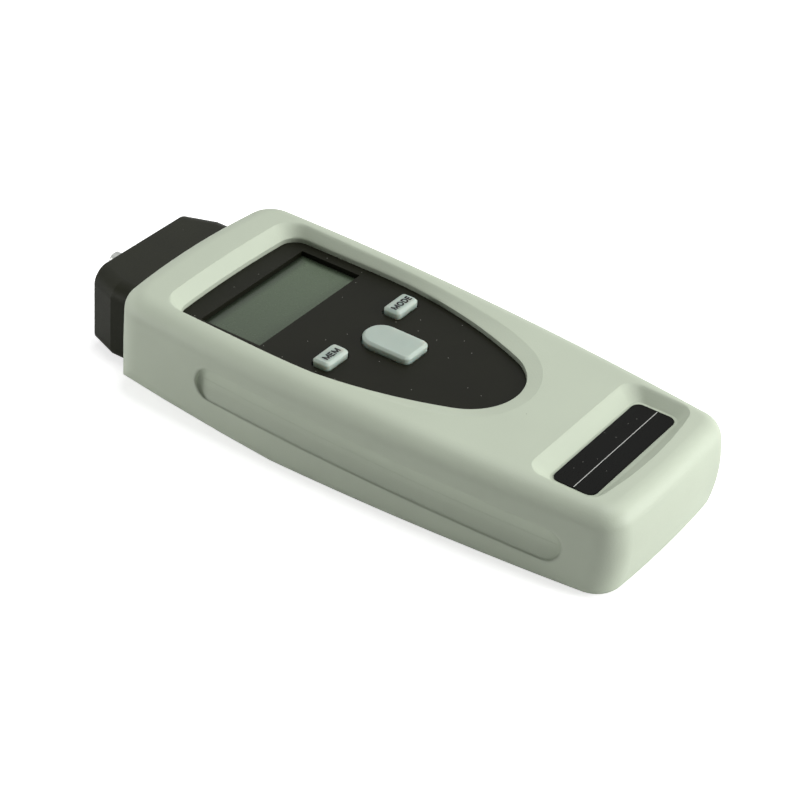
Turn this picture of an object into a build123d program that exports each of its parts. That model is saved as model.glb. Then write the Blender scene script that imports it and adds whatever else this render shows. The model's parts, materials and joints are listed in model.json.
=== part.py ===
from build123d import *
import math
import os

# Hand-held digital tachometer with a contact shaft.
# The frame: X across the instrument, +Y from the tail to the measuring head, +Z up.
# The origin is under the middle of the whole object, on the plane that it lies on.
# All sizes are in millimetres.

# Housing outline and height
WIDTH = 60.0
TAIL_Y = -78.0
HEAD_END_Y = 56.0
WIDEST_Y = 12.3
SIDE_RADIUS = 700.0
SIDE_ARCS = 5
HEAD_BOW = 2.0
TAIL_BOW_RADIUS = 293.0
TAIL_BULGE_RADIUS = 39.0
TAIL_REACH = 16.5
TAIL_HALF_TURN = 8.0
TAIL_SPARE = 12.0
TAIL_CORNER = 7.0
HEAD_CORNER = 8.0
MIDDLE_Z = 12.0
TOP_AT_ORIGIN = 24.37
TOP_SLOPE = 0.02844
HULL_HEIGHT = 27.0
TOP_ROUNDING = 4.8
BOTTOM_ROUNDING = 3.0
WALL = 2.4
TAIL_WALL = 3.6
LIP = 1.8

# Lower side edges, rounded off more and more towards the head
SWELL_START_Y = 5.0
SWELL_END_Y = 58.0
SWELL_START_R = 2.7
SWELL_END_R = 10.2
SWELL_SECTIONS = 4
SWELL_OVERLAP = (0.15, 0.03)
WEDGE_LEG = (1.56, 10.14)

# Panel well in the top
PANEL_TOP = 21.7
PANEL_THICK = 1.2
WELL_WALL = 1.1
ABOVE = 4.0
STRAIGHT_END_Y = 16.6
# Half width, head edge, its bow, corner radius, and the radius and the end of each of two side arcs
PANEL_FORM = (22.4, 42.2, 0.8, 4.5, 108.0, -14.0, 108.0, -27.7)
BEVEL_FORM = (24.2, 45.0, 0.8, 6.0, 180.0, -16.5, 45.0, -29.0)
WELL_RING = 1.8
WELL_LEDGE = 1.6
RING_BOTTOM = 18.5
FIT_GAP = 0.1

# Display window and display
WINDOW_X = 19.3
WINDOW_Y = (19.7, 36.3)
GLASS_THICK = 2.2
GLASS_BORDER = 0.6
FRAME_WALL = 0.7
GLASS_Z = (PANEL_TOP - PANEL_THICK - GLASS_THICK, PANEL_TOP - PANEL_THICK)

# Keys
KEY_TOP = 23.4
SIDE_KEY = (8.4, 4.6)
SIDE_KEY_POS = (13.7, 4.3)
MAIN_KEY_HALF = 4.6
MAIN_KEY_Y = (-10.1, 4.4)
KEY_CHAMFER = 0.6
KEY_GAP = 0.3
KEY_FLANGE = 0.9
FLANGE_TOP = 20.35
FLANGE_THICK = 0.8
PLUNGER_BOTTOM = 18.9
PLUNGER_R = 1.6
MAIN_PLUNGER_Y = sum(MAIN_KEY_Y) / 2
SIDE_KEY_CORNER = 1.2
MAIN_KEY_CORNER = 1.7
DOME_TOP = 18.25
DOME_R = (2.7, 1.6)
MAT_THICK = 0.7

# Label plate and its dish
LABEL_Y = -61.2
LABEL_SIZE = (36.0, 10.4)
LABEL_CORNER = 2.0
LABEL_TOP = 20.5
LABEL_THICK = 0.6
DISH_FLOOR = 20.3

# Side grooves
GROOVE_Y = (-64.6, 29.5)
GROOVE_Z0 = 12.65
GROOVE_SLOPE = 0.045
GROOVE_HALF = 4.1
GROOVE_DEPTH = 1.3
GROOVE_STEP = 0.2

# Measuring head
HEAD_FRONT_Y = 68.8
HEAD_FACET_Y = 61.6
HEAD_BACK_Y = 51.6
FLANGE_BACK_Y = 50.0
HEAD_FRONT_X = 17.8
HEAD_SIDE_X = 20.6
HEAD_TOP = 20.7
HEAD_BOTTOM = 1.2
HEAD_TOP_ROUNDING = 4.0
HEAD_LOW_ROUNDING = 2.2
HEAD_WALL = 2.2
HEAD_FRONT_WALL = 3.5
FLANGE_STEP = 1.2
FLANGE_BOTTOM = 7.0

# Shaft and what it turns in
SHAFT_Z = 11.8
SHAFT_R = 2.0
JOURNAL_R = 2.5
JOURNAL_END_Y = 69.0
SHAFT_TIP_Y = 78.0
SHAFT_TIP_CHAMFER = 0.6
SHAFT_TAIL_Y = 47.0
SHAFT_CLEARANCE = 0.05
BUSH_R = 4.0
BUSH_LENGTH = 4.0
BUSH_SHOULDER = 0.6
TUBE_R = 6.0
TUBE_TAIL_Y = 54.5
COLLAR_R = 3.1
COLLAR_Y = (HEAD_FRONT_Y - BUSH_LENGTH - 2.8, HEAD_FRONT_Y - BUSH_LENGTH - 0.3)
RING_Y = (TUBE_TAIL_Y - 1.1, TUBE_TAIL_Y - 0.3)
RING_GROOVE_R = 2.1
RING_R = 3.8
RING_MOUTH = 2.4
DISC_Y = 48.6
DISC_R = 6.3
DISC_THICK = 0.8
DISC_HUB_R = 3.6
DISC_HUB_REACH = (1.0, 1.6)
DISC_SLOTS = 8
SLOT_SIZE = (1.4, 1.6)
SLOT_FROM_R = 4.0

# Rear cover and its screws
COVER_THICK = 1.8
COVER_GAP = 0.15
COVER_TAIL_Y = -73.2
COVER_HEAD_Y = 51.5
COVER_CORNER = 4.0
COVER_HALF = (20.9, 25.6, 19.0)
COVER_WIDE_Y = -8.0
TONGUE_HALF = 8.0
TONGUE_REACH = 0.8
TONGUE_THICK = 1.2
POST_TOP = 4.0
POST_R = 2.6
SCREW_POS = ((15.5, 45.5), (-15.5, 45.5), (21.4, -12.0), (-21.4, -12.0))
SCREW_R = 1.15
SCREW_HEAD_R = 2.1
SCREW_LENGTH = 8.0
SCREW_HEAD = 1.5
SEAT_THICK = 1.6
CROSS = (1.3, 0.3)
CROSS_DEPTH = 0.8

# Battery compartment
CELL_R = 7.1
CELL_LENGTH = 50.5
CELL_X = 7.6
CELL_BOTTOM = 2.0
CELL_TOP = CELL_BOTTOM + 2 * CELL_R
CELL_CHAMFER = 0.5
NUB_R = 2.7
NUB_LENGTH = 1.0
TUB_HALF = 15.2
TUB_WALL = 1.8
TUB_Y = (-70.0, -15.9)
TUB_CEILING = 1.2
PLATE_THICK = 0.4
PLATE_HALF = 4.5
LEAD_X = 9.5
LEAD_WIDTH = 3.0
LEAF_THICK = 0.3
LEAF_WIDTH = 5.0
LEAF_HALF = 4.2

# Battery door
DOOR_HALF = 16.0
DOOR_Y = (-70.6, -15.0)
DOOR_Z = (0.3, 1.7)
DOOR_GAP = 0.25
TAB_X = 9.0
TAB_WIDTH = 5.0
TAB_REACH = 2.0
TAB_Z = (1.2, 1.9)
TAB_ROOM = 2.8
TAB_SLOT_Z = (0.9, 3.2)
LATCH_HALF = 5.0
LATCH_THICK = 0.9
LATCH_TOP = 4.6
LATCH_GAP = 0.5
THUMB_R = 6.0
THUMB_DEPTH = 0.6
THUMB_FROM_EDGE = 9.0
THUMB_RIBS = 3
THUMB_PITCH = 3.0
THUMB_RIB = 0.8

# Boards
BOARD_Z = (15.0, 16.6)
BOARD_HEAD_Y = 42.5
BOARD_TAIL_Y = -13.5
BOARD_HALF = 23.0
BOARD_TAIL_HALF = 17.8
BOARD_STEP_Y = -6.0
SENSOR_BOARD_Z = (2.6, 3.8)
SENSOR_BOARD_HALF = 9.0
SENSOR_BOARD_Y = (38.5, 51.3)
FORK_HALF = (3.0, 2.4)
FORK_GAP_HALF = 1.0
FORK_BASE = 1.2
FORK_HEIGHT = 4.4
LINK_Y = (39.4, 41.9)
LINK_STRIP = 2.5
LINK_PINS = 4
LINK_PITCH = 2.54
LINK_PIN_HALF = 0.32
CHIP = ((-6.0, 6.0), (4.0, 16.0), 1.6)
CRYSTAL = ((-16.0, -11.5), (2.0, 13.0), 3.5)
CRYSTAL_CORNER = 2.0
CAPACITOR_POS = (14.0, 8.0)
CAPACITOR_R = 3.0
CAPACITOR_HEIGHT = 7.0
BOARD_POST_POS = ((19.5, 24.0), (-19.5, 24.0), (13.5, -9.5), (-13.5, -9.5))
BOARD_POST_R = 2.0
RIB_Y = (39.0, 50.0)
RIB_THICK = 1.2


def box(x, y, z):
    """Box between the two ends given for each axis."""
    size = (x[1] - x[0], y[1] - y[0], z[1] - z[0])
    middle = ((x[0] + x[1]) / 2, (y[0] + y[1]) / 2, (z[0] + z[1]) / 2)
    return Pos(*middle) * Box(*size)


def rod(x, y, radius, z):
    """Upright cylinder between two heights."""
    return Pos(x, y, (z[0] + z[1]) / 2) * Cylinder(radius, z[1] - z[0])


def rod_along_y(x, z, radius, y):
    """Cylinder along Y between two ends."""
    return Pos(x, (y[0] + y[1]) / 2, z) * Rot(90, 0, 0) * Cylinder(radius, y[1] - y[0])


def top_plane(drop=0.0):
    """Plane of the sloping top, lowered by the drop."""
    return Plane(origin=(0, 0, TOP_AT_ORIGIN - drop), x_dir=(1, 0, 0), z_dir=(0, -TOP_SLOPE, 1))


def side_x(y, inset=0.0):
    """Half width of the housing at a place along its length."""
    return WIDTH / 2 - inset - (y - WIDEST_Y) ** 2 / (2 * SIDE_RADIUS)


# Housing

def housing_plan(inset, tail):
    """Outline seen from above: bowed sides in a row of arcs, a bowed head end, a square tail end."""
    head = HEAD_END_Y - inset
    head_side = head - HEAD_BOW
    x_head = side_x(head_side, inset)
    span = (head_side - tail) / SIDE_ARCS
    with BuildSketch() as plan:
        with BuildLine():
            for s in (1, -1):
                for index in range(SIDE_ARCS):
                    places = [tail + span * (index + part) for part in (0, 0.5, 1)]
                    ThreePointArc(*[(s * side_x(y, inset), y) for y in places])
            ThreePointArc((x_head, head_side), (0, head), (-x_head, head_side))
            Line((side_x(tail, inset), tail), (-side_x(tail, inset), tail))
        make_face()
        fillet(plan.vertices().group_by(Axis.Y)[-1], HEAD_CORNER - inset)
    return plan.sketch


def tail_cutter():
    """What lies behind the tail face, which bulges both in plan and in height."""
    face_y = TAIL_Y + TAIL_BULGE_RADIUS - math.sqrt(TAIL_BULGE_RADIUS ** 2 - TAIL_REACH ** 2)
    low = (face_y, MIDDLE_Z - TAIL_REACH)
    high = (face_y, MIDDLE_Z + TAIL_REACH)
    with BuildSketch(Plane.YZ) as section:
        with BuildLine():
            ThreePointArc(low, (TAIL_Y, MIDDLE_Z), high)
            Polyline(high, (TAIL_Y - TAIL_SPARE, high[1]), (TAIL_Y - TAIL_SPARE, low[1]), low)
        make_face()
    centre_y = TAIL_Y + TAIL_BOW_RADIUS
    swept = revolve(section.sketch, Axis((0, centre_y, 0), (0, 0, 1)), 2 * TAIL_HALF_TURN)
    return Pos(0, centre_y, 0) * Rot(0, 0, -TAIL_HALF_TURN) * Pos(0, -centre_y, 0) * swept


def hull_half(depth, rounding):
    """Body from the middle height down, with its lower edge rounded all round."""
    body = extrude(Pos(0, 0, MIDDLE_Z - depth) * housing_plan(0.0, TAIL_Y - 2), depth + 6) - tail_cutter()
    corners = [e for e in body.edges() if e.bounding_box().size.Z > depth and e.center().Y < -60]
    body = fillet(corners, TAIL_CORNER)
    body = fillet(body.faces().sort_by(Axis.Z)[0].edges(), rounding)
    return split(body, bisect_by=middle_plane(), keep=Keep.BOTTOM)


def middle_plane():
    """Plane half-way between the flat underside and the sloping top."""
    lean = math.atan(TOP_SLOPE) / 2
    return Plane(origin=(0, 0, MIDDLE_Z), x_dir=(1, 0, 0), z_dir=(0, -math.sin(lean), math.cos(lean)))


def housing_hull():
    """Whole outer form: a lower half, and an upper half mirrored in the leaning middle plane."""
    upper = hull_half(TOP_AT_ORIGIN - MIDDLE_Z, TOP_ROUNDING)
    return hull_half(MIDDLE_Z, BOTTOM_ROUNDING) + mirror(upper, middle_plane())


def housing_inside():
    """Space inside the walls, down to the lip that the rear cover fits into."""
    space = extrude(Pos(0, 0, LIP) * housing_plan(WALL, TAIL_Y + TAIL_WALL), HULL_HEIGHT)
    space = fillet(space.edges().filter_by(Axis.Z).group_by(Axis.Y)[0], TAIL_CORNER - WALL)
    return split(space, bisect_by=top_plane(WALL), keep=Keep.BOTTOM)


def lower_edge_cutter(side):
    """Takes off a lower side edge by a rounding that swells towards the head."""
    sections = []
    for step in range(SWELL_SECTIONS):
        share = step / (SWELL_SECTIONS - 1)
        y = SWELL_START_Y + (SWELL_END_Y - SWELL_START_Y) * share
        radius = SWELL_START_R + (SWELL_END_R - SWELL_START_R) * share
        wall = side_x(y) + SWELL_OVERLAP[0]
        centre = (wall - radius, radius - SWELL_OVERLAP[1])
        mid = (centre[0] + radius * math.sqrt(0.5), centre[1] - radius * math.sqrt(0.5))
        low = (centre[0], centre[1] - radius)
        high = (wall, centre[1])
        with BuildSketch(Plane(origin=(0, y, 0), x_dir=(1, 0, 0), z_dir=(0, -1, 0))) as section:
            with BuildLine():
                ThreePointArc(low, mid, high)
                Polyline(high, (wall + 4, centre[1]), (wall + 4, -4), (centre[0], -4), low)
            make_face()
        sections.append(section.sketch)
    cutter = loft(sections, ruled=True)
    return cutter if side > 0 else mirror(cutter, Plane.YZ)


def inner_wedge(side):
    """Keeps the wall whole behind the swelling edge, by a slanted plane inside."""
    sections = []
    for y, leg in ((SWELL_START_Y, WEDGE_LEG[0]), (SWELL_END_Y, WEDGE_LEG[1])):
        x = side_x(y, WALL)
        place = Plane(origin=(0, y, 0), x_dir=(1, 0, 0), z_dir=(0, -1, 0))
        corners = ((x - leg, LIP), (x + 3, LIP - 3), (x + 3, LIP + leg + 3))
        sections.append(place * make_face(Polyline(*corners, close=True)))
    wedge = loft(sections, ruled=True)
    return wedge if side > 0 else mirror(wedge, Plane.YZ)


def well_outline(half, head_y, head_bow, corner, first_r, first_y, second_r, second_y):
    """Shield outline: bowed head edge, straight sides, two arcs a side and a round nose."""
    turn_1 = math.asin((STRAIGHT_END_Y - first_y) / first_r)
    x_1 = half - first_r * (1 - math.cos(turn_1))
    turn_2 = math.asin(math.sin(turn_1) + (first_y - second_y) / second_r)
    x_2 = x_1 - second_r * (math.cos(turn_1) - math.cos(turn_2))
    nose_r = x_2 / math.cos(turn_2)
    apex = second_y + nose_r * math.sin(turn_2) - nose_r
    half_1 = turn_1 / 2
    half_2 = (turn_1 + turn_2) / 2
    mid_1 = (half - first_r * (1 - math.cos(half_1)), STRAIGHT_END_Y - first_r * math.sin(half_1))
    mid_2 = (
        x_1 - second_r * (math.cos(turn_1) - math.cos(half_2)),
        first_y - second_r * (math.sin(half_2) - math.sin(turn_1)),
    )
    with BuildSketch() as outline:
        with BuildLine():
            ThreePointArc((half, head_y - head_bow), (0, head_y), (-half, head_y - head_bow))
            for s in (1, -1):
                Line((s * half, head_y - head_bow), (s * half, STRAIGHT_END_Y))
                ThreePointArc((s * half, STRAIGHT_END_Y), (s * mid_1[0], mid_1[1]), (s * x_1, first_y))
                ThreePointArc((s * x_1, first_y), (s * mid_2[0], mid_2[1]), (s * x_2, second_y))
            ThreePointArc((x_2, second_y), (0, apex), (-x_2, second_y))
        make_face()
        fillet(outline.vertices().group_by(Axis.Y)[-1], corner)
    return outline.sketch


def panel_outline():
    return well_outline(*PANEL_FORM)


def bevel_outline():
    return well_outline(*BEVEL_FORM)


def upright(sketch, z):
    """Sketch in the XY plane, extruded between two heights."""
    return extrude(Pos(0, 0, z[0]) * sketch, z[1] - z[0])


def panel_well():
    """Straight-walled seat of the panel with the bevel above it, up through the top."""
    seat = upright(panel_outline(), (PANEL_TOP - PANEL_THICK, PANEL_TOP + WELL_WALL))
    low = Pos(0, 0, PANEL_TOP + WELL_WALL) * panel_outline()
    high = top_plane().location * bevel_outline()
    bevel = loft([low, high], ruled=True)
    above = extrude(high, ABOVE, dir=(0, 0, 1))
    opening = upright(offset(panel_outline(), -WELL_LEDGE), (RING_BOTTOM - 1, PANEL_TOP))
    return seat + bevel + above + opening


def dish_form(half, y, bow, corner):
    """Outline that is straight at the head side and bowed at the tail side."""
    with BuildSketch() as outline:
        with BuildLine():
            Polyline((half, y[0]), (half, y[1]), (-half, y[1]), (-half, y[0]))
            ThreePointArc((-half, y[0]), (0, y[0] - bow), (half, y[0]))
        make_face()
        fillet(outline.vertices(), corner)
    return outline.sketch


def dish_outline():
    """Upper edge of the label dish."""
    return dish_form(21.5, (-68.4, -51.5), 2.0, 4.0)


def dish_floor():
    """Floor of the label dish, a little larger than the plate."""
    return dish_form(18.9, (-66.9, -55.3), 0.6, 2.5)


def label_outline(gap=0.0):
    width, length = LABEL_SIZE
    return Pos(0, LABEL_Y) * RectangleRounded(width + 2 * gap, length + 2 * gap, LABEL_CORNER)


def label_dish():
    """Dish with its pocket for the label plate, up through the top."""
    high = top_plane().location * dish_outline()
    slopes = loft([Pos(0, 0, DISH_FLOOR) * dish_floor(), high], ruled=True)
    pocket = upright(label_outline(FIT_GAP), (LABEL_TOP - LABEL_THICK, DISH_FLOOR))
    return slopes + extrude(high, ABOVE, dir=(0, 0, 1)) + pocket


def groove_cutter(side):
    """Trough that follows the bowed side, with round ends and a low step along its edges."""
    hollow = GROOVE_DEPTH - GROOVE_STEP
    trough_r = (GROOVE_HALF ** 2 + hollow ** 2) / (2 * hollow)
    half_turn = math.degrees(90.0 / SIDE_RADIUS)
    profile = Pos(SIDE_RADIUS + trough_r - GROOVE_DEPTH, 0, 0) * Plane.XZ * Circle(trough_r)
    ring = Rot(0, 0, -half_turn) * revolve(profile, Axis.Z, 2 * half_turn)
    tilt = math.degrees(math.atan(GROOVE_SLOPE))
    place = Pos(WIDTH / 2 - SIDE_RADIUS, WIDEST_Y, GROOVE_Z0 + GROOVE_SLOPE * WIDEST_Y) * Rot(tilt, 0, 0)
    middle_y = (GROOVE_Y[0] + GROOVE_Y[1]) / 2
    middle = (0, middle_y, GROOVE_Z0 + GROOVE_SLOPE * middle_y)
    slot = Plane(origin=middle, x_dir=(0, 1, GROOVE_SLOPE), z_dir=(1, 0, 0)) * SlotOverall(
        GROOVE_Y[1] - GROOVE_Y[0], 2 * GROOVE_HALF
    )
    groove = (place * ring) & extrude(slot, 60.0)
    return groove if side > 0 else mirror(groove, Plane.YZ)


def head_opening():
    """Opening in the head end that the measuring head comes out of."""
    return head_body(FIT_GAP, HEAD_BACK_Y - 1.0)


def cover_outline(gap=0.0):
    """Opening in the underside, narrower at the head where the edges round off."""
    tail = COVER_TAIL_Y + gap
    head = COVER_HEAD_Y - gap
    x_tail, x_wide, x_head = [half - gap for half in COVER_HALF]
    with BuildSketch() as outline:
        with BuildLine():
            for s in (1, -1):
                ThreePointArc((s * x_tail, tail), (s * x_wide, COVER_WIDE_Y), (s * x_head, head))
            Line((x_tail, tail), (-x_tail, tail))
            Line((x_head, head), (-x_head, head))
        make_face()
        fillet(outline.vertices(), COVER_CORNER - gap)
    return outline.sketch


def housing():
    outer = housing_hull()
    inside = housing_inside()
    inside -= upright(offset(panel_outline(), WELL_RING), (RING_BOTTOM, HULL_HEIGHT))
    inside -= upright(dish_outline(), (RING_BOTTOM, HULL_HEIGHT))
    for side in (1, -1):
        outer -= lower_edge_cutter(side)
        outer -= groove_cutter(side)
        inside -= inner_wedge(side)
    for x, y in SCREW_POS:
        inside -= rod(x, y, POST_R, (POST_TOP, HULL_HEIGHT))
    shell = outer - inside - upright(cover_outline(), (-1.0, LIP))
    shell = shell - panel_well() - label_dish() - head_opening()
    for x, y in SCREW_POS:
        shell -= rod(x, y, SCREW_R, (POST_TOP - 1, POST_TOP + SCREW_LENGTH))
    return shell


# Measuring head

def head_body(gap=0.0, back=HEAD_BACK_Y):
    """Outer form of the head: facets at the front corners, rounded upper and lower sides."""
    side = HEAD_SIDE_X + gap
    front = HEAD_FRONT_X + gap
    with BuildSketch() as plan:
        with BuildLine():
            Polyline(
                (-side, back), (side, back), (side, HEAD_FACET_Y), (front, HEAD_FRONT_Y),
                (-front, HEAD_FRONT_Y), (-side, HEAD_FACET_Y), (-side, back),
            )
        make_face()
    body = upright(plan.sketch, (HEAD_BOTTOM - gap, HEAD_TOP + gap))
    top_edges = [e for e in body.faces().sort_by(Axis.Z)[-1].edges() if abs(e.center().X) > 10]
    body = fillet(top_edges, HEAD_TOP_ROUNDING)
    low_edges = [e for e in body.faces().sort_by(Axis.Z)[0].edges() if abs(e.center().X) > 10]
    return fillet(low_edges, HEAD_LOW_ROUNDING)


def head_block():
    """Hollow moulding with a flange inside the housing and a tube for the two bushes."""
    body = head_body()
    flange = box(
        (-HEAD_SIDE_X - FLANGE_STEP, HEAD_SIDE_X + FLANGE_STEP),
        (FLANGE_BACK_Y, HEAD_END_Y),
        (FLANGE_BOTTOM, HEAD_TOP + FLANGE_STEP),
    )
    flange = fillet(flange.edges().filter_by(Axis.Y).group_by(Axis.Z)[-1], HEAD_TOP_ROUNDING)
    body += flange & housing_inside()
    hollow = box(
        (-HEAD_SIDE_X + HEAD_WALL, HEAD_SIDE_X - HEAD_WALL),
        (FLANGE_BACK_Y - 1, HEAD_FACET_Y),
        (HEAD_BOTTOM + HEAD_WALL, HEAD_TOP - HEAD_WALL),
    )
    hollow += box(
        (-HEAD_FRONT_X + HEAD_WALL, HEAD_FRONT_X - HEAD_WALL),
        (HEAD_FACET_Y - 1, HEAD_FRONT_Y - HEAD_FRONT_WALL),
        (HEAD_BOTTOM + HEAD_WALL, HEAD_TOP - HEAD_WALL),
    )
    hollow = fillet(hollow.edges().filter_by(Axis.Y).group_by(Axis.Z)[-1], HEAD_TOP_ROUNDING - HEAD_WALL)
    body -= hollow
    body += rod_along_y(0, SHAFT_Z, TUBE_R, (TUBE_TAIL_Y, HEAD_FRONT_Y - 1))
    body -= rod_along_y(0, SHAFT_Z, BUSH_R - BUSH_SHOULDER, (TUBE_TAIL_Y - 1, HEAD_FRONT_Y + 1))
    body -= rod_along_y(0, SHAFT_Z, BUSH_R, (TUBE_TAIL_Y - 1, TUBE_TAIL_Y + BUSH_LENGTH))
    body -= rod_along_y(0, SHAFT_Z, BUSH_R, (HEAD_FRONT_Y - BUSH_LENGTH, HEAD_FRONT_Y + 1))
    return body


def bush(tail_y):
    bore = rod_along_y(0, SHAFT_Z, JOURNAL_R + SHAFT_CLEARANCE, (tail_y - 1, tail_y + BUSH_LENGTH + 1))
    return rod_along_y(0, SHAFT_Z, BUSH_R, (tail_y, tail_y + BUSH_LENGTH)) - bore


def front_bearing():
    return bush(HEAD_FRONT_Y - BUSH_LENGTH)


def rear_bearing():
    return bush(TUBE_TAIL_Y)


def shaft():
    """Steel shaft: a journal with a collar and a ring groove, and a thinner end for the adapters."""
    body = rod_along_y(0, SHAFT_Z, SHAFT_R, (SHAFT_TAIL_Y, SHAFT_TIP_Y))
    body = chamfer(body.edges().sort_by(Axis.Y)[-1], SHAFT_TIP_CHAMFER)
    body += rod_along_y(0, SHAFT_Z, JOURNAL_R, (SHAFT_TAIL_Y, JOURNAL_END_Y))
    body += rod_along_y(0, SHAFT_Z, COLLAR_R, COLLAR_Y)
    groove = rod_along_y(0, SHAFT_Z, JOURNAL_R + 1, RING_Y)
    groove -= rod_along_y(0, SHAFT_Z, RING_GROOVE_R, (RING_Y[0] - 1, RING_Y[1] + 1))
    return body - groove


def retaining_ring():
    """Open ring that snaps into the groove from one side."""
    through = (RING_Y[0] - 1, RING_Y[1] + 1)
    ring = rod_along_y(0, SHAFT_Z, RING_R, RING_Y) - rod_along_y(0, SHAFT_Z, RING_GROOVE_R, through)
    return ring - box((-RING_MOUTH / 2, RING_MOUTH / 2), through, (SHAFT_Z - RING_R - 1, SHAFT_Z))


def encoder_disc():
    """Disc on a short hub, with slots that the fork looks through."""
    disc = rod_along_y(0, SHAFT_Z, DISC_R, (DISC_Y - DISC_THICK / 2, DISC_Y + DISC_THICK / 2))
    disc += rod_along_y(0, SHAFT_Z, DISC_HUB_R, (DISC_Y - DISC_HUB_REACH[0], DISC_Y + DISC_HUB_REACH[1]))
    slot_half = SLOT_SIZE[0] / 2
    slot = box((-slot_half, slot_half), (DISC_Y - 1, DISC_Y + 1), (SLOT_FROM_R, SLOT_FROM_R + SLOT_SIZE[1]))
    for index in range(DISC_SLOTS):
        disc -= Pos(0, 0, SHAFT_Z) * Rot(0, index * 360 / DISC_SLOTS, 0) * slot
    return disc - rod_along_y(0, SHAFT_Z, JOURNAL_R, (DISC_Y - 3, DISC_Y + 3))


def light_barrier():
    """Fork whose two arms stand on both sides of the disc."""
    base_z = SENSOR_BOARD_Z[1]
    across, along = FORK_HALF
    fork = box((-across, across), (DISC_Y - along, DISC_Y + along), (base_z, base_z + FORK_HEIGHT))
    gap_y = (DISC_Y - FORK_GAP_HALF, DISC_Y + FORK_GAP_HALF)
    return fork - box((-across - 1, across + 1), gap_y, (base_z + FORK_BASE, base_z + FORK_HEIGHT + 1))


def sensor_board():
    return box((-SENSOR_BOARD_HALF, SENSOR_BOARD_HALF), SENSOR_BOARD_Y, SENSOR_BOARD_Z)


def board_link():
    """Row of pins between the two boards, in one moulded strip."""
    low = SENSOR_BOARD_Z[1]
    half = LINK_PITCH * LINK_PINS / 2
    middle_y = sum(LINK_Y) / 2
    strip = box((-half, half), LINK_Y, (low, low + LINK_STRIP))
    pin_y = (middle_y - LINK_PIN_HALF, middle_y + LINK_PIN_HALF)
    for index in range(LINK_PINS):
        x = (index - (LINK_PINS - 1) / 2) * LINK_PITCH
        strip += box((x - LINK_PIN_HALF, x + LINK_PIN_HALF), pin_y, (low, BOARD_Z[0]))
    return strip


# Panel, display and keys

def key_outline(size, corner):
    return RectangleRounded(size[0], size[1], corner)


def side_key_place(side):
    return Pos(side * SIDE_KEY_POS[0], SIDE_KEY_POS[1], 0)


def side_key_outline(grow):
    return key_outline((SIDE_KEY[0] + 2 * grow, SIDE_KEY[1] + 2 * grow), SIDE_KEY_CORNER + grow / 2)


def main_key_outline(grow):
    """Middle key: half round towards the head, squared off towards the tail."""
    half = MAIN_KEY_HALF + grow
    tail = MAIN_KEY_Y[0] - grow
    centre = MAIN_KEY_Y[1] - MAIN_KEY_HALF
    with BuildSketch() as outline:
        with BuildLine():
            ThreePointArc((half, centre), (0, centre + half), (-half, centre))
            Polyline((-half, centre), (-half, tail), (half, tail), (half, centre))
        make_face()
        fillet(outline.vertices().group_by(Axis.Y)[0], MAIN_KEY_CORNER + grow / 2)
    return outline.sketch


def key_cap(outline, plunger_y):
    """Cap with a chamfered upper edge, a flange under the panel and a plunger."""
    flange_z = (FLANGE_TOP - FLANGE_THICK, FLANGE_TOP)
    cap = upright(outline(0.0), (flange_z[0], KEY_TOP))
    cap = chamfer(cap.faces().sort_by(Axis.Z)[-1].edges(), KEY_CHAMFER)
    cap += upright(outline(KEY_FLANGE), flange_z)
    return cap + rod(0, plunger_y, PLUNGER_R, (PLUNGER_BOTTOM, flange_z[0]))


def side_key(side):
    return side_key_place(side) * key_cap(side_key_outline, 0)


def mem_key():
    return side_key(-1)


def mode_key():
    return side_key(1)


def measure_key():
    return key_cap(main_key_outline, MAIN_PLUNGER_Y)


def control_panel():
    """Black plate with the display window and a hole for each key."""
    z = (PANEL_TOP - PANEL_THICK, PANEL_TOP)
    through = (z[0] - 1, z[1] + 1)
    plate = upright(offset(panel_outline(), -FIT_GAP), z)
    plate -= box((-WINDOW_X, WINDOW_X), WINDOW_Y, through)
    plate -= upright(main_key_outline(KEY_GAP), through)
    for side in (1, -1):
        plate -= side_key_place(side) * upright(side_key_outline(KEY_GAP), through)
    return plate


def glass_box(grow, z):
    return box(
        (-WINDOW_X - GLASS_BORDER - grow, WINDOW_X + GLASS_BORDER + grow),
        (WINDOW_Y[0] - GLASS_BORDER - grow, WINDOW_Y[1] + GLASS_BORDER + grow),
        z,
    )


def lcd_glass():
    return glass_box(0, GLASS_Z)


def lcd_frame():
    """Frame round the glass, with a shelf under its edge."""
    frame = glass_box(FRAME_WALL, (BOARD_Z[1], GLASS_Z[1] - 0.2))
    frame -= glass_box(0, (GLASS_Z[0], GLASS_Z[1]))
    return frame - glass_box(-0.5, (BOARD_Z[1] - 1, GLASS_Z[1]))


def lcd_connectors():
    """Two elastomer strips under the long edges of the glass."""
    strips = []
    for y in (WINDOW_Y[0] + 0.2, WINDOW_Y[1] - 2.2):
        strips.append(box((-18.0, 18.0), (y, y + 2.0), (BOARD_Z[1], GLASS_Z[0])))
    return Compound(children=strips)


def key_mat():
    """Rubber sheet with a dome under each plunger."""
    sheet_top = BOARD_Z[1] + MAT_THICK
    mat = box((-17.8, 17.8), (-11.2, 8.6), (BOARD_Z[1], sheet_top))
    places = [(-SIDE_KEY_POS[0], SIDE_KEY_POS[1]), (SIDE_KEY_POS[0], SIDE_KEY_POS[1]), (0, MAIN_PLUNGER_Y)]
    for x, y in places:
        mat += Pos(x, y, (sheet_top + DOME_TOP) / 2) * Cone(*DOME_R, DOME_TOP - sheet_top)
    return mat


def circuit_board():
    """Main board, narrower at the tail between the screw posts."""
    board = box((-BOARD_HALF, BOARD_HALF), (BOARD_STEP_Y, BOARD_HEAD_Y), BOARD_Z)
    return board + box((-BOARD_TAIL_HALF, BOARD_TAIL_HALF), (BOARD_TAIL_Y, BOARD_STEP_Y + 1), BOARD_Z)


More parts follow.
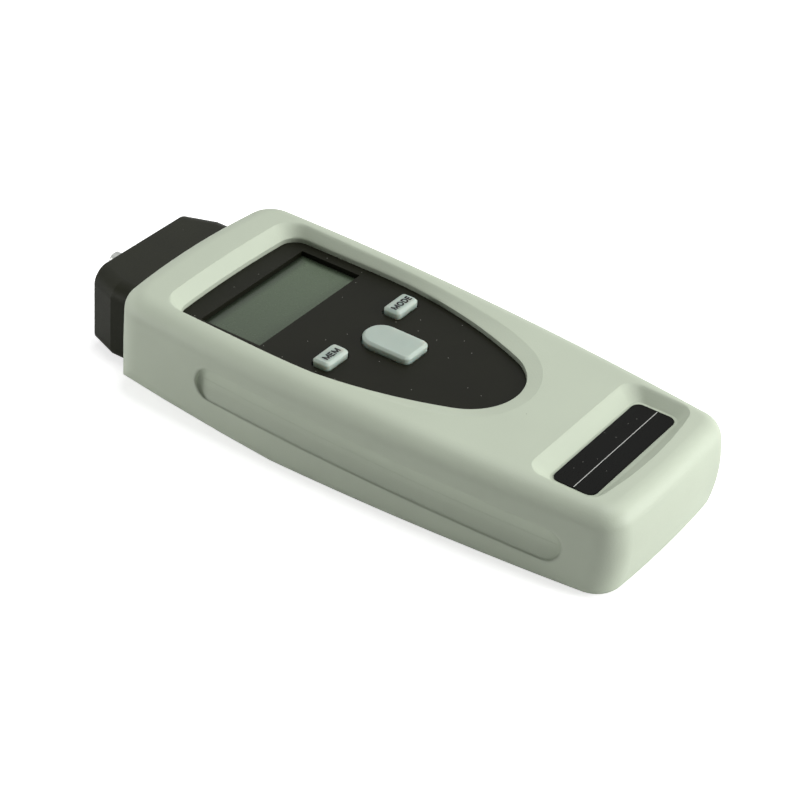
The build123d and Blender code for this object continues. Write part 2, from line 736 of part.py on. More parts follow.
def board_parts():
    """Processor, capacitor and crystal on the underside of the board."""
    under = BOARD_Z[0]
    chip = box(CHIP[0], CHIP[1], (under - CHIP[2], under))
    capacitor = rod(*CAPACITOR_POS, CAPACITOR_R, (under - CAPACITOR_HEIGHT, under))
    crystal = box(CRYSTAL[0], CRYSTAL[1], (under - CRYSTAL[2], under))
    crystal = fillet(crystal.edges().filter_by(Axis.Z), CRYSTAL_CORNER)
    return Compound(children=[chip, capacitor, crystal])


# Underside

def tub_box(wall, z):
    return box((-TUB_HALF - wall, TUB_HALF + wall), (TUB_Y[0] - wall, TUB_Y[1] + wall), z)


def lead_slots(gap):
    """Where the two leads of the contacts go up through the tub."""
    slots = []
    for side in (1, -1):
        x = side * LEAD_X
        y = (TUB_Y[1] - PLATE_THICK - gap, TUB_Y[1] + gap)
        half = LEAD_WIDTH / 2 + gap
        slots.append(box((x - half, x + half), y, (CELL_TOP - 2, CELL_TOP + 2.2)))
    return slots


def rear_cover():
    """Cover with the battery tub, the screw posts, the board posts and the tail tongue."""
    cover = upright(cover_outline(COVER_GAP), (0.0, COVER_THICK))
    cover += tub_box(TUB_WALL, (COVER_THICK, CELL_TOP + TUB_CEILING))
    cover -= tub_box(0, (COVER_THICK - 1, CELL_TOP))
    cover -= box(
        (-DOOR_HALF - DOOR_GAP, DOOR_HALF + DOOR_GAP),
        (DOOR_Y[0] - DOOR_GAP, DOOR_Y[1] + DOOR_GAP),
        (-1.0, COVER_THICK),
    )
    tongue_y = (COVER_TAIL_Y - TONGUE_REACH, COVER_TAIL_Y + 2.0)
    cover += box((-TONGUE_HALF, TONGUE_HALF), tongue_y, (LIP, LIP + TONGUE_THICK))
    for side in (1, -1):
        x = side * TAB_X
        half = TAB_WIDTH / 2 + DOOR_GAP
        cover -= box((x - half, x + half), (DOOR_Y[1] - 2.5, DOOR_Y[1] + TAB_ROOM), TAB_SLOT_Z)
    for slot in lead_slots(0.1):
        cover -= slot
    latch_half = LATCH_HALF + LATCH_GAP
    latch_y = (DOOR_Y[0] - 0.4, DOOR_Y[0] + 1.6)
    cover -= box((-latch_half, latch_half), latch_y, (COVER_THICK - 0.1, LATCH_TOP + 0.6))
    for x, y in SCREW_POS:
        cover += rod(x, y, POST_R, (0.0, POST_TOP))
        cover -= rod(x, y, SCREW_HEAD_R + 0.3, (-1.0, POST_TOP - SEAT_THICK))
        cover -= rod(x, y, SCREW_R, (0.0, POST_TOP + 1))
    for x, y in BOARD_POST_POS:
        cover += rod(x, y, BOARD_POST_R, (COVER_THICK, BOARD_Z[0]))
    for y in RIB_Y:
        cover += box((-8.0, 8.0), (y, y + RIB_THICK), (COVER_THICK, SENSOR_BOARD_Z[0]))
    return cover


def cover_screws():
    """Four identical pan head screws with a cross slot."""
    screws = []
    head_z = (POST_TOP - SEAT_THICK - SCREW_HEAD, POST_TOP - SEAT_THICK)
    for x, y in SCREW_POS:
        head = rod(x, y, SCREW_HEAD_R, head_z)
        for across, along in (CROSS, CROSS[::-1]):
            bar_x = (x - across, x + across)
            bar_y = (y - along, y + along)
            head -= box(bar_x, bar_y, (head_z[0] - 1, head_z[0] + CROSS_DEPTH))
        screws.append(head + rod(x, y, SCREW_R, (head_z[1], POST_TOP + SCREW_LENGTH - 1)))
    return Compound(children=screws)


def battery_door():
    """Flat door with two hook tabs, a latch tongue and a ribbed thumb recess."""
    door = box((-DOOR_HALF, DOOR_HALF), DOOR_Y, DOOR_Z)
    door = fillet(door.edges().filter_by(Axis.Z).group_by(Axis.Y)[0], 1.0)
    root_y = DOOR_Y[1] - 0.6
    for side in (1, -1):
        tab_x = (side * TAB_X - TAB_WIDTH / 2, side * TAB_X + TAB_WIDTH / 2)
        door += box(tab_x, (root_y, DOOR_Y[1] + TAB_REACH), TAB_Z)
        door += box(tab_x, (root_y, DOOR_Y[1]), (DOOR_Z[0], TAB_Z[1]))
    door += box((-LATCH_HALF, LATCH_HALF), (DOOR_Y[0], DOOR_Y[0] + LATCH_THICK), (DOOR_Z[0], LATCH_TOP))
    centre_y = DOOR_Y[0] + THUMB_FROM_EDGE
    recess = Pos(0, centre_y, DOOR_Z[0]) * Cylinder(THUMB_R, 2 * THUMB_DEPTH)
    for index in range(THUMB_RIBS):
        y = centre_y + (index - (THUMB_RIBS - 1) / 2) * THUMB_PITCH
        recess -= box((-THUMB_R - 1, THUMB_R + 1), (y - THUMB_RIB / 2, y + THUMB_RIB / 2), (-1.0, 2.0))
    return door - recess


def cell(side, nub_up):
    """AA cell with a raised positive end."""
    near = TUB_Y[0] + PLATE_THICK
    far = TUB_Y[1] - PLATE_THICK
    z = CELL_BOTTOM + CELL_R
    x = side * CELL_X
    if nub_up:
        can = rod_along_y(x, z, CELL_R, (far - CELL_LENGTH, far - NUB_LENGTH))
        nub = rod_along_y(x, z, NUB_R, (far - NUB_LENGTH, far))
    else:
        can = rod_along_y(x, z, CELL_R, (near + NUB_LENGTH, near + CELL_LENGTH))
        nub = rod_along_y(x, z, NUB_R, (near, near + NUB_LENGTH))
    return chamfer(can.edges().filter_by(GeomType.CIRCLE), CELL_CHAMFER) + nub


def cell_left():
    return cell(-1, True)


def cell_right():
    return cell(1, False)


def cell_contacts():
    """Two plates with leads to the board at the head side, one bridge at the tail side."""
    z = (4.5, CELL_TOP - 1.2)
    bridge = box((-12.5, 12.5), (TUB_Y[0], TUB_Y[0] + PLATE_THICK), (5.5, CELL_TOP - 1.2))
    plates = [bridge]
    y = (TUB_Y[1] - PLATE_THICK, TUB_Y[1])
    lead_top = CELL_TOP + 1.8
    board_top = BOARD_Z[1]
    for side in (1, -1):
        x = side * LEAD_X
        strip_x = (x - LEAD_WIDTH / 2, x + LEAD_WIDTH / 2)
        middle = side * CELL_X
        plate = box((middle - PLATE_HALF, middle + PLATE_HALF), y, z)
        plate += box(strip_x, y, (z[1], lead_top))
        plate += box(strip_x, (y[0], BOARD_TAIL_Y + 1.5), (lead_top - PLATE_THICK, lead_top))
        plate += box(strip_x, (BOARD_TAIL_Y + 1.1, BOARD_TAIL_Y + 1.5), (board_top, lead_top))
        plates.append(plate)
    return Compound(children=plates)


def leaf(x, y, reach, towards):
    """Bent strip that presses on the flat end of a cell."""
    middle = CELL_BOTTOM + CELL_R
    out = reach - LEAF_THICK
    bends = ((0, -LEAF_HALF), (0, 1 - LEAF_HALF), (out, -0.8), (out, 0.8), (0.4, LEAF_HALF))
    near = [(y + towards * d, middle + up) for d, up in bends]
    far = [(y + towards * (d + LEAF_THICK), middle + up) for d, up in reversed(bends)]
    place = Plane(origin=(x - LEAF_WIDTH / 2, 0, 0), x_dir=(0, 1, 0), z_dir=(1, 0, 0))
    return extrude(place * make_face(Polyline(*near, *far, close=True)), LEAF_WIDTH)


def cell_springs():
    gap = TUB_Y[1] - TUB_Y[0] - 2 * PLATE_THICK - CELL_LENGTH
    left = leaf(-CELL_X, TUB_Y[0] + PLATE_THICK, gap, 1)
    right = leaf(CELL_X, TUB_Y[1] - PLATE_THICK, gap, -1)
    return Compound(children=[left, right])


def label_plate():
    return upright(label_outline(), (LABEL_TOP - LABEL_THICK, LABEL_TOP))


PIECES = (
    housing, rear_cover, battery_door, cell_left, cell_right, cell_springs, cell_contacts,
    circuit_board, board_parts, lcd_frame, lcd_glass, lcd_connectors, control_panel, key_mat,
    mem_key, mode_key, measure_key, head_block, front_bearing, rear_bearing, shaft,
    encoder_disc, retaining_ring, light_barrier, sensor_board, board_link, cover_screws, label_plate,
)

os.makedirs("parts", exist_ok=True)
for piece in PIECES:
    export_step(piece(), f"parts/{piece.__name__}.step")
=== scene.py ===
# Looks of the hand-held digital tachometer: materials, printed marks, floor, light and camera.
import bpy
import json
import math
from mathutils import Matrix, Vector

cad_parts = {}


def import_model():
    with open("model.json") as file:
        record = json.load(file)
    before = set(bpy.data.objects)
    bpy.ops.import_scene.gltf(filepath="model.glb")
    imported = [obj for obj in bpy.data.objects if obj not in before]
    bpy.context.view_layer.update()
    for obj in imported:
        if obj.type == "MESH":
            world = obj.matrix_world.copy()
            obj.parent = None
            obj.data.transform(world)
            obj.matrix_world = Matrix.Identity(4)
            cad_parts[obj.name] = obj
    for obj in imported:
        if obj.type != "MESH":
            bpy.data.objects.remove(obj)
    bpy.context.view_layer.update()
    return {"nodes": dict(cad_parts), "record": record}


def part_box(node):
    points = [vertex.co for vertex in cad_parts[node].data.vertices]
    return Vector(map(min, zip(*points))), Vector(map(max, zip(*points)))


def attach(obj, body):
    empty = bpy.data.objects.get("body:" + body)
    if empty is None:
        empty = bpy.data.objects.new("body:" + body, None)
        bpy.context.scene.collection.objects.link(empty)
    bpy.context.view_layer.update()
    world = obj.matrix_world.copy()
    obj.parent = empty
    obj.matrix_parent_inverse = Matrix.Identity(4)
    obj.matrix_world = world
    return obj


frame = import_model()
nodes = frame["nodes"]

MM = 0.001

# Camera of the photograph
CAMERA_PLACE = Vector((-0.39943, -0.25472, 0.33377))
CAMERA_AZIMUTH = math.radians(-58.104)
CAMERA_ELEVATION = math.radians(34.681)
CAMERA_ROLL = math.radians(4.712)
CAMERA_LENS = 113.69
CAMERA_SENSOR = 36.0
CAMERA_CLIP = 0.01

# Linear colours
HOUSING = (0.505, 0.563, 0.450)
BLACK = (0.0112, 0.0122, 0.0060)
PANEL = (0.0076, 0.0080, 0.0042)
LABEL = (0.0050, 0.0052, 0.0045)
KEYS = (0.425, 0.508, 0.447)
DISPLAY = (0.057, 0.081, 0.048)
STEEL = (0.40, 0.41, 0.39)
CONTACT_STEEL = (0.62, 0.60, 0.55)
BRONZE = (0.45, 0.28, 0.12)
WHITE_PLASTIC = (0.62, 0.62, 0.58)
RUBBER = (0.06, 0.062, 0.06)
LAMINATE = (0.012, 0.075, 0.03)
COMPONENT = (0.015, 0.015, 0.016)
CELL_JACKET = (0.03, 0.032, 0.036)
CELL_CAN = (0.55, 0.55, 0.53)
PRINT = (0.008, 0.009, 0.008)
LINE = (0.60, 0.61, 0.58)
DUST = (0.22, 0.22, 0.20)
HOUSING_SPECK_SHADE = 0.4

# Finishes: colour, mottling and its size, roughness, size of the grain and its depth
FINISHES = {
    "housing_plastic": (HOUSING, 0.02, 20 * MM, 0.52, 0.34 * MM, 0.036 * MM),
    "black_plastic": (BLACK, 0.15, 10 * MM, 0.46, 0.35 * MM, 0.016 * MM),
    "panel_black": (PANEL, 0.10, 10 * MM, 0.40, 0.22 * MM, 0.006 * MM),
    "label_black": (LABEL, 0.08, 10 * MM, 0.30, 0.25 * MM, 0.004 * MM),
    "key_plastic": (KEYS, 0.02, 4 * MM, 0.36, 0.30 * MM, 0.006 * MM),
    "display_glass": (DISPLAY, 0.02, 10 * MM, 0.26, 2.0 * MM, 0.0005 * MM),
    "cell_jacket": (CELL_JACKET, 0.05, 10 * MM, 0.28, 0.5 * MM, 0.004 * MM),
    "white_plastic": (WHITE_PLASTIC, 0.02, 8 * MM, 0.45, 0.3 * MM, 0.01 * MM),
    "mat_rubber": (RUBBER, 0.06, 4 * MM, 0.72, 0.2 * MM, 0.01 * MM),
    "board_laminate": (LAMINATE, 0.12, 3 * MM, 0.30, 0.4 * MM, 0.01 * MM),
    "component_black": (COMPONENT, 0.10, 3 * MM, 0.50, 0.15 * MM, 0.006 * MM),
    "print": (PRINT, 0.10, 2 * MM, 0.50, 0.2 * MM, 0.003 * MM),
    "line": (LINE, 0.03, 2 * MM, 0.45, 0.2 * MM, 0.003 * MM),
    "steel": (STEEL, 0.06, 2 * MM, 0.30, 0.12 * MM, 0.004 * MM),
    "contact_steel": (CONTACT_STEEL, 0.06, 2 * MM, 0.20, 0.12 * MM, 0.004 * MM),
    "bronze": (BRONZE, 0.06, 2 * MM, 0.40, 0.12 * MM, 0.004 * MM),
}
NOISE_MIDDLE = (0.3, 0.7)
NOISE_DETAIL = 3.0
MOTTLE_ROUGHNESS = 0.5
GRAIN_ROUGHNESS = 0.6
UNEVEN_GLOSS = 0.05

# Machining lines of the metals: how much finer the grain is along X, Y and Z
METAL_LINES = {
    "steel": (1.0, 14.0, 1.0),
    "contact_steel": (1.0, 1.0, 8.0),
    "bronze": (1.0, 10.0, 1.0),
}

# Specular level of the finishes that mirror less than plain plastic does
SPECULAR = {
    "housing_plastic": 0.40,
    "black_plastic": 0.12,
    "panel_black": 0.08,
    "label_black": 0.05,
    "display_glass": 0.30,
}

# Specks: size of the grid's cells, size of a speck, chance of one in a cell, and the grid's dimensions
SPECKS = {
    "housing_plastic": (2.5 * MM, 0.11 * MM, 0.03, "3D"),
    "black_plastic": (1.6 * MM, 0.10 * MM, 0.15, "3D"),
    "panel_black": (4.0 * MM, 0.11 * MM, 0.30, "2D"),
    "label_black": (3.0 * MM, 0.09 * MM, 0.30, "2D"),
}

# Radius to which the shading rounds the edges, and what is added to it on the housing's side walls
EDGES = {
    "housing_plastic": 0.25 * MM,
    "black_plastic": 0.35 * MM,
    "panel_black": 0.18 * MM,
    "key_plastic": 0.45 * MM,
}
SIDE_WALL_EDGES = 0.95 * MM
EDGE_SAMPLES = 6

# How far red, green and blue light spreads inside the keys
KEY_SPREAD = (3.2, 2.6, 2.4)
KEY_SPREAD_UNIT = 1.0 * MM

# Display: the window's walls at its head end and on its right, how far the painted shadow under them reaches
# and how dark it is, and the painted light that makes its right end paler
WINDOW_HEAD = 36.3 * MM
WINDOW_RIGHT = 19.3 * MM
HEAD_SHADOW = 3.2 * MM
RIGHT_SHADOW = 2.4 * MM
DISPLAY_HALF = 16.0 * MM
DISPLAY_PAINTED_SHADE = 0.1
DISPLAY_PAINTED_LIGHT = 1.45

# Cells: half the length that the jacket covers, and the width of its edge
JACKET_HALF = 23.9 * MM
JACKET_EDGE = 0.1 * MM

# Printed marks: each letter's width and strokes, in parts of the letter's box
PRINT_THICK = 0.03 * MM
PRINT_HEIGHT = 1.8 * MM
PRINT_STROKE = 0.42 * MM
PRINT_OVERRUN = PRINT_STROKE / 4
PRINT_GAP = 0.15 * MM
PRINT_SHIFT = Vector((-0.05, -0.20)) * MM
ROUND_STEPS = 16
ROUND = [math.tau * step / ROUND_STEPS for step in range(ROUND_STEPS + 1)]
LETTERS = {
    "M": (1.88 * MM, [[(0, 0), (0, 1)], [(0, 1), (0.5, 0.05)], [(0.5, 0.05), (1, 1)], [(1, 1), (1, 0)]]),
    "E": (1.15 * MM, [[(0, 0), (0, 1)], [(0, 1), (1, 1)], [(0, 0.52), (0.9, 0.52)], [(0, 0), (1, 0)]]),
    "O": (1.72 * MM, [[(0.5 + 0.5 * math.cos(a), 0.5 + 0.5 * math.sin(a)) for a in ROUND]]),
    "D": (1.50 * MM, [
        [(0, 0), (0, 1)], [(0, 1), (0.5, 1)], [(0, 0), (0.5, 0)],
        [(0.5 + 0.5 * math.sin(a), 0.5 + 0.5 * math.cos(a)) for a in ROUND[:ROUND_STEPS // 2 + 1]],
    ]),
}
WORDS = {"mem": "MEM", "mode": "MODE"}

# Line on the label plate
LINE_WIDTH = 0.15 * MM
LINE_OFFSET = -0.35 * MM
LINE_END_GAP = 0.3 * MM
LINE_SUNK = 0.01 * MM
LINE_RAISED = 0.015 * MM
LINE_END_STEPS = 8

# Mould line in the side grooves: a small step whose foot fades out below it
MOULD_LINE_Z = 12.95 * MM
MOULD_LINE_RISE = 0.045
MOULD_LINE_HALF = 0.08 * MM
MOULD_LINE_FOOT = (-1.4 * MM, -0.1 * MM)
MOULD_LINE_DEPTH = 0.05 * MM
SIDE_WALL_X = 21.0 * MM
GROOVE_MIDDLE_Y = -17.5 * MM
GROOVE_HALF = 46.8 * MM
GROOVE_FADE = 2.0 * MM

# Light: each lamp's place, the side of its square box, and its power in watts
LAMPS = {
    "top_light": ((0.15, -0.10, 1.10), 0.5, 7.7),
    "tail_light": ((0.40, -1.00, 0.32), 0.5, 8.7),
    "side_light": ((0.80, -0.80, 0.40), 0.6, 2.8),
    "head_light": ((0.10, 0.90, 0.60), 0.7, 0.7),
    "fill_light": ((-0.20, 0.25, 0.05), 0.10, 0.26),
}
SKY_LIGHT = 0.06

# Floor, whose own glow rises to white between a near and a far distance from the object
FLOOR_REACH = 3.0
FLOOR_DROP = 0.05 * MM
FLOOR_COLOUR = (0.80, 0.80, 0.80)
FLOOR_ROUGHNESS = 0.9
FLOOR_SHOWN = 0.70
FLOOR_NEAR = 0.3
FLOOR_FAR = 1.2
FLOOR_MIRRORED = 0.20


# Material kit

def new_material(name):
    """Material with a bare shader, and its node tree."""
    material = bpy.data.materials.new(name)
    material.use_nodes = True
    tree = material.node_tree
    return material, tree, tree.nodes["Principled BSDF"]


def put(tree, socket, value):
    """Feeds a socket from another socket, or sets it to a number or colour."""
    if isinstance(value, bpy.types.NodeSocket):
        tree.links.new(value, socket)
    else:
        socket.default_value = value


def calculate(tree, operation, first, second=0.0, third=0.0):
    """Result of one sum on up to three sockets or numbers."""
    node = tree.nodes.new("ShaderNodeMath")
    node.operation = operation
    for index, value in enumerate((first, second, third)):
        put(tree, node.inputs[index], value)
    return node.outputs[0]


def place_of(tree, stretch=(1.0, 1.0, 1.0)):
    """Place on the object, in metres, stretched along its axes."""
    coordinates = tree.nodes.new("ShaderNodeTexCoord")
    mapping = tree.nodes.new("ShaderNodeMapping")
    mapping.inputs["Scale"].default_value = stretch
    tree.links.new(coordinates.outputs["Object"], mapping.inputs["Vector"])
    return mapping.outputs["Vector"]


def axes_of(tree):
    """X, Y and Z of the place on the object, in metres."""
    split = tree.nodes.new("ShaderNodeSeparateXYZ")
    tree.links.new(place_of(tree), split.inputs[0])
    return split.outputs


def noise(tree, place, size, roughness):
    """Noise whose lumps are about the given size in metres."""
    node = tree.nodes.new("ShaderNodeTexNoise")
    node.inputs["Scale"].default_value = 1.0 / size
    node.inputs["Detail"].default_value = NOISE_DETAIL
    node.inputs["Roughness"].default_value = roughness
    tree.links.new(place, node.inputs["Vector"])
    return node.outputs["Fac"]


def spread(tree, value, low, high, low_result, high_result):
    """Maps a range of values to a range of results, and stays inside it."""
    node = tree.nodes.new("ShaderNodeMapRange")
    node.clamp = True
    settings = (low, high, low_result, high_result)
    tree.links.new(value, node.inputs["Value"])
    for name, number in zip(("From Min", "From Max", "To Min", "To Max"), settings):
        node.inputs[name].default_value = number
    return node.outputs["Result"]


def blend(tree, share, first, second):
    """Mixes two colours."""
    node = tree.nodes.new("ShaderNodeMix")
    node.data_type = "RGBA"
    put(tree, node.inputs[0], share)
    for socket, value in ((node.inputs[6], first), (node.inputs[7], second)):
        put(tree, socket, value if isinstance(value, bpy.types.NodeSocket) else (*value, 1.0))
    return node.outputs[2]


def shade(colour, amount):
    """Colour made darker or paler by an amount."""
    return tuple(min(1.0, part * amount) for part in colour)


def bump(tree, shader, height, depth):
    """Adds relief of a depth in metres, over any relief that is there already."""
    node = tree.nodes.new("ShaderNodeBump")
    node.inputs["Strength"].default_value = 1.0
    node.inputs["Distance"].default_value = depth
    tree.links.new(height, node.inputs["Height"])
    if shader.inputs["Normal"].is_linked:
        tree.links.new(shader.inputs["Normal"].links[0].from_socket, node.inputs["Normal"])
    tree.links.new(node.outputs["Normal"], shader.inputs["Normal"])


def moulded(name, stretch=(1.0, 1.0, 1.0)):
    """Material of a finish, with slight mottling, uneven gloss and a fine grain."""
    colour, mottling, mottle_size, roughness, grain, depth = FINISHES[name]
    material, tree, shader = new_material(name)
    place = place_of(tree, stretch)
    cloud = noise(tree, place, mottle_size, MOTTLE_ROUGHNESS)
    fine = noise(tree, place, grain, GRAIN_ROUGHNESS)
    share = spread(tree, cloud, *NOISE_MIDDLE, 0.0, 1.0)
    tint = blend(tree, share, shade(colour, 1 - mottling), shade(colour, 1 + mottling))
    put(tree, shader.inputs["Base Color"], tint)
    gloss = spread(tree, fine, *NOISE_MIDDLE, roughness - UNEVEN_GLOSS, roughness + UNEVEN_GLOSS)
    put(tree, shader.inputs["Roughness"], gloss)
    if name in SPECULAR:
        shader.inputs["Specular IOR Level"].default_value = SPECULAR[name]
    bump(tree, shader, fine, depth)
    return material, tree, shader


def lay_over(tree, shader, share, colour):
    """Lays a colour over the base colour by a share."""
    base = shader.inputs["Base Color"].links[0].from_socket
    put(tree, shader.inputs["Base Color"], blend(tree, share, base, colour))


def specks(tree, cell, size, chance, dimensions):
    """Share of the surface under tiny specks of dust, one in some cells of a loose grid."""
    node = tree.nodes.new("ShaderNodeTexVoronoi")
    node.voronoi_dimensions = dimensions
    node.inputs["Scale"].default_value = 1.0 / cell
    tree.links.new(place_of(tree), node.inputs["Vector"])
    near = calculate(tree, "LESS_THAN", node.outputs["Distance"], size / cell)
    pick = tree.nodes.new("ShaderNodeSeparateColor")
    tree.links.new(node.outputs["Color"], pick.inputs[0])
    return calculate(tree, "MULTIPLY", near, calculate(tree, "LESS_THAN", pick.outputs[0], chance))


def soften(tree, shader, radius):
    """Shades edges as if they were rounded, under the relief that is there already."""
    rounding = tree.nodes.new("ShaderNodeBevel")
    rounding.samples = EDGE_SAMPLES
    put(tree, rounding.inputs["Radius"], radius)
    lowest = shader.inputs["Normal"].links[0].from_node
    while lowest.inputs["Normal"].is_linked:
        lowest = lowest.inputs["Normal"].links[0].from_node
    tree.links.new(rounding.outputs["Normal"], lowest.inputs["Normal"])


# Materials

def metal(name):
    """Metal with fine machining lines along one axis."""
    material, tree, shader = moulded(name, METAL_LINES[name])
    shader.inputs["Metallic"].default_value = 1.0
    return material


def dusty_black(name):
    """Black plastic with soft edges and specks of dust."""
    material, tree, shader = moulded(name)
    if name in EDGES:
        soften(tree, shader, EDGES[name])
    lay_over(tree, shader, specks(tree, *SPECKS[name]), DUST)
    return material


def housing_plastic():
    """Spark-textured grey-green plastic, with the mould line along the side grooves."""
    material, tree, shader = moulded("housing_plastic")
    x, y, z = axes_of(tree)
    off = calculate(tree, "SUBTRACT", z, calculate(tree, "MULTIPLY_ADD", y, MOULD_LINE_RISE, MOULD_LINE_Z))
    edge = spread(tree, off, -MOULD_LINE_HALF, MOULD_LINE_HALF, 1.0, 0.0)
    step = calculate(tree, "MINIMUM", edge, spread(tree, off, *MOULD_LINE_FOOT, 0.0, 1.0))
    side_wall = calculate(tree, "GREATER_THAN", calculate(tree, "ABSOLUTE", x), SIDE_WALL_X)
    along = calculate(tree, "ABSOLUTE", calculate(tree, "SUBTRACT", y, GROOVE_MIDDLE_Y))
    inside_ends = spread(tree, along, GROOVE_HALF - GROOVE_FADE, GROOVE_HALF, 1.0, 0.0)
    step = calculate(tree, "MULTIPLY", step, calculate(tree, "MULTIPLY", side_wall, inside_ends))
    bump(tree, shader, step, MOULD_LINE_DEPTH)
    radius = calculate(tree, "MULTIPLY_ADD", side_wall, SIDE_WALL_EDGES, EDGES["housing_plastic"])
    soften(tree, shader, radius)
    lay_over(tree, shader, specks(tree, *SPECKS["housing_plastic"]), shade(HOUSING, HOUSING_SPECK_SHADE))
    return material


def key_plastic():
    """Pale plastic that lets some light through."""
    material, tree, shader = moulded("key_plastic")
    shader.inputs["Subsurface Weight"].default_value = 1.0
    shader.inputs["Subsurface Radius"].default_value = KEY_SPREAD
    shader.inputs["Subsurface Scale"].default_value = KEY_SPREAD_UNIT
    soften(tree, shader, EDGES["key_plastic"])
    return material


def display_glass():
    """Grey-green display, with painted light making it paler towards one end, and painted shadow under the
    window's head and right walls.
    """
    material, tree, shader = moulded("display_glass")
    x, y, z = axes_of(tree)
    # Painted light: the display's colour is made paler towards its right end.
    painted_light_end = spread(tree, x, -DISPLAY_HALF, DISPLAY_HALF, 0.0, 1.0)
    lay_over(tree, shader, painted_light_end, shade(DISPLAY, DISPLAY_PAINTED_LIGHT))
    # Painted shadow: the display's colour is darkened under the window's head and right walls.
    under_head = spread(tree, y, WINDOW_HEAD - HEAD_SHADOW, WINDOW_HEAD, 0.0, 1.0)
    under_right = spread(tree, x, WINDOW_RIGHT - RIGHT_SHADOW, WINDOW_RIGHT, 0.0, 1.0)
    painted_shade = calculate(tree, "MAXIMUM", under_head, under_right)
    lay_over(tree, shader, painted_shade, shade(DISPLAY, DISPLAY_PAINTED_SHADE))
    return material


def cell_jacket():
    """Plain dark film over a steel can, whose ends stay bare."""
    material, tree, shader = moulded("cell_jacket")
    x, y, z = axes_of(tree)
    low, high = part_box("cell_left")
    middle = (low[1] + high[1]) / 2
    off = calculate(tree, "ABSOLUTE", calculate(tree, "SUBTRACT", y, middle))
    end = spread(tree, off, JACKET_HALF, JACKET_HALF + JACKET_EDGE, 0.0, 1.0)
    lay_over(tree, shader, end, CELL_CAN)
    put(tree, shader.inputs["Metallic"], end)
    return material


MATERIALS = {
    "housing_plastic": housing_plastic(),
    "black_plastic": dusty_black("black_plastic"),
    "panel_black": dusty_black("panel_black"),
    "key_plastic": key_plastic(),
    "display_glass": display_glass(),
    "cell_jacket": cell_jacket(),
}
for name in ("white_plastic", "mat_rubber", "board_laminate", "component_black"):
    MATERIALS[name] = moulded(name)[0]
for name in METAL_LINES:
    MATERIALS[name] = metal(name)
LABEL_MATERIAL = dusty_black("label_black")
PRINT_MATERIAL = moulded("print")[0]
LINE_MATERIAL = moulded("line")[0]

for entry in frame["record"]["subparts"]:
    node = nodes[entry["node"]]
    finish = MATERIALS[entry["material_slot"]]
    if entry["node"] == "label_plate":
        finish = LABEL_MATERIAL
    for slot in node.material_slots:
        slot.material = finish


# Lettering and the label's line

def new_piece(name, points, faces, body, material):
    """Piece of the scene that rides on a body."""
    mesh = bpy.data.meshes.new(name)
    mesh.from_pydata(points, [], faces)
    piece = bpy.data.objects.new(name, mesh)
    bpy.context.scene.collection.objects.link(piece)
    piece.data.materials.append(material)
    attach(piece, body)


def stroke(points, faces, start, end, z):
    """Adds a flat bar of the stroke's width between two points, a little longer than they are apart."""
    along = (end - start).normalized()
    across = Vector((-along.y, along.x)) * PRINT_STROKE / 2
    start, end = start - along * PRINT_OVERRUN, end + along * PRINT_OVERRUN
    first = len(points)
    corners = (start - across, end - across, end + across, start + across)
    for height in z:
        points += [(*corner, height) for corner in corners]
    faces += [(first + 3, first + 2, first + 1, first), (first + 4, first + 5, first + 6, first + 7)]
    faces += [(first + i, first + (i + 1) % 4, first + 4 + (i + 1) % 4, first + 4 + i) for i in range(4)]


def lettering(body, word):
    """Print of a word, about the middle of the top of a key."""
    low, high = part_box(f"{body}_key")
    z = (high[2] - PRINT_THICK / 2, high[2] + PRINT_THICK / 2)
    length = sum(LETTERS[letter][0] for letter in word) + PRINT_GAP * (len(word) - 1)
    place = Vector(((low[0] + high[0] - length) / 2, (low[1] + high[1] - PRINT_HEIGHT) / 2)) + PRINT_SHIFT
    inset = Vector((PRINT_STROKE, PRINT_STROKE)) / 2
    points, faces = [], []
    for letter in word:
        width, lines = LETTERS[letter]
        size = Vector((width, PRINT_HEIGHT)) - 2 * inset
        for line in lines:
            spots = [place + inset + Vector((u * size.x, v * size.y)) for u, v in line]
            for start, end in zip(spots, spots[1:]):
                stroke(points, faces, start, end, z)
        place = place + Vector((width + PRINT_GAP, 0))
    new_piece(f"{body}_print", points, faces, body, PRINT_MATERIAL)


def label_line():
    """Thin flat line with round ends, along the label plate."""
    low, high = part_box("label_plate")
    middle = (low[1] + high[1]) / 2 + LINE_OFFSET
    radius = LINE_WIDTH / 2
    ends = ((high[0] - LINE_END_GAP - radius, -math.pi / 2), (low[0] + LINE_END_GAP + radius, math.pi / 2))
    outline = []
    for x, turn in ends:
        for step in range(LINE_END_STEPS + 1):
            angle = turn + math.pi * step / LINE_END_STEPS
            outline.append((x + radius * math.cos(angle), middle + radius * math.sin(angle)))
    count = len(outline)
    points = [(*p, high[2] - LINE_SUNK) for p in outline] + [(*p, high[2] + LINE_RAISED) for p in outline]
    faces = [tuple(range(count))[::-1], tuple(range(count, 2 * count))]
    faces += [(i, (i + 1) % count, (i + 1) % count + count, i + count) for i in range(count)]
    new_piece("label_line", points, faces, "instrument", LINE_MATERIAL)


for body, word in WORDS.items():
    lettering(body, word)
label_line()


# Floor, background and light

def seen_by(tree, camera_share, mirror_share):
    """Strength for rays from the camera, and another for reflections and clear parts."""
    path = tree.nodes.new("ShaderNodeLightPath")
    mirrored = calculate(tree, "MAXIMUM", path.outputs["Is Glossy Ray"], path.outputs["Is Transmission Ray"])
    mirrored = calculate(tree, "MULTIPLY", mirrored, mirror_share)
    return calculate(tree, "MULTIPLY_ADD", path.outputs["Is Camera Ray"], camera_share, mirrored)


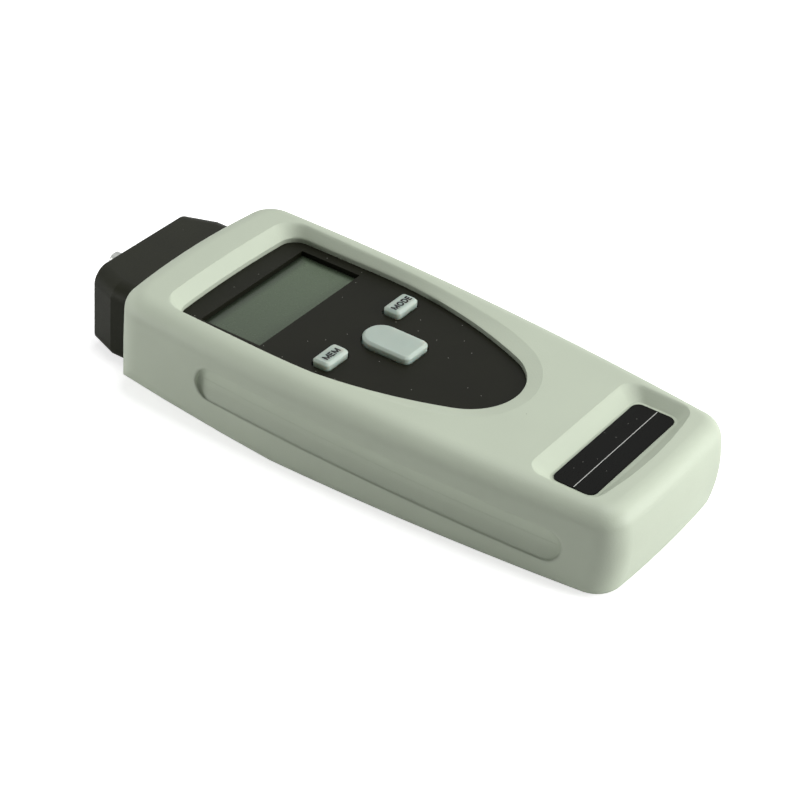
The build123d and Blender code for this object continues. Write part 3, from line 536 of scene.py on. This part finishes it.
def floor():
    """Pale floor that keeps the object's shadow and otherwise meets the white background."""
    reach = FLOOR_REACH
    corners = [(-reach, -reach, 0), (reach, -reach, 0), (reach, reach, 0), (-reach, reach, 0)]
    mesh = bpy.data.meshes.new("floor")
    mesh.from_pydata(corners, [], [(0, 1, 2, 3)])
    plane = bpy.data.objects.new("floor", mesh)
    bpy.context.scene.collection.objects.link(plane)
    plane.location.z = -FLOOR_DROP
    material, tree, shader = new_material("floor")
    shader.inputs["Base Color"].default_value = (*FLOOR_COLOUR, 1.0)
    shader.inputs["Roughness"].default_value = FLOOR_ROUGHNESS
    shader.inputs["Specular IOR Level"].default_value = 0.0
    shader.inputs["Emission Color"].default_value = (1.0, 1.0, 1.0, 1.0)
    x, y, z = axes_of(tree)
    away = calculate(tree, "MULTIPLY_ADD", x, x, calculate(tree, "MULTIPLY", y, y))
    shown = spread(tree, away, FLOOR_NEAR ** 2, FLOOR_FAR ** 2, FLOOR_SHOWN, 1.0)
    put(tree, shader.inputs["Emission Strength"], seen_by(tree, shown, FLOOR_MIRRORED))
    mesh.materials.append(material)


def world():
    """Faint light from all round, with a white background where it is seen or mirrored."""
    sky = bpy.data.worlds.new("world")
    bpy.context.scene.world = sky
    sky.use_nodes = True
    tree = sky.node_tree
    seen = seen_by(tree, 1.0 - SKY_LIGHT, 1.0 - SKY_LIGHT)
    put(tree, tree.nodes["Background"].inputs["Strength"], calculate(tree, "ADD", seen, SKY_LIGHT))
    tree.nodes["Background"].inputs["Color"].default_value = (1.0, 1.0, 1.0, 1.0)


def softbox(name, place, side, power):
    """Square soft light that faces the object."""
    lamp = bpy.data.lights.new(name, "AREA")
    lamp.size = side
    lamp.energy = power
    box = bpy.data.objects.new(name, lamp)
    bpy.context.scene.collection.objects.link(box)
    box.location = place
    box.rotation_euler = (-Vector(place)).to_track_quat("-Z", "Y").to_euler()


def camera():
    """Camera at the photograph's place and angle."""
    a, e = CAMERA_AZIMUTH, CAMERA_ELEVATION
    back = Vector((math.sin(a) * math.cos(e), -math.cos(a) * math.cos(e), math.sin(e)))
    level = (-back).cross(Vector((0, 0, 1))).normalized()
    upright = level.cross(-back)
    right = level * math.cos(CAMERA_ROLL) + upright * math.sin(CAMERA_ROLL)
    up = upright * math.cos(CAMERA_ROLL) - level * math.sin(CAMERA_ROLL)
    lens = bpy.data.cameras.new("camera")
    lens.lens = CAMERA_LENS
    lens.sensor_width = CAMERA_SENSOR
    lens.clip_start = CAMERA_CLIP
    eye = bpy.data.objects.new("camera", lens)
    bpy.context.scene.collection.objects.link(eye)
    eye.matrix_world = Matrix.Translation(CAMERA_PLACE) @ Matrix((right, up, back)).transposed().to_4x4()
    bpy.context.scene.camera = eye


floor()
world()
for name, (place, side, power) in LAMPS.items():
    softbox(name, place, side, power)
camera()
bpy.context.scene.view_settings.view_transform = "Standard"
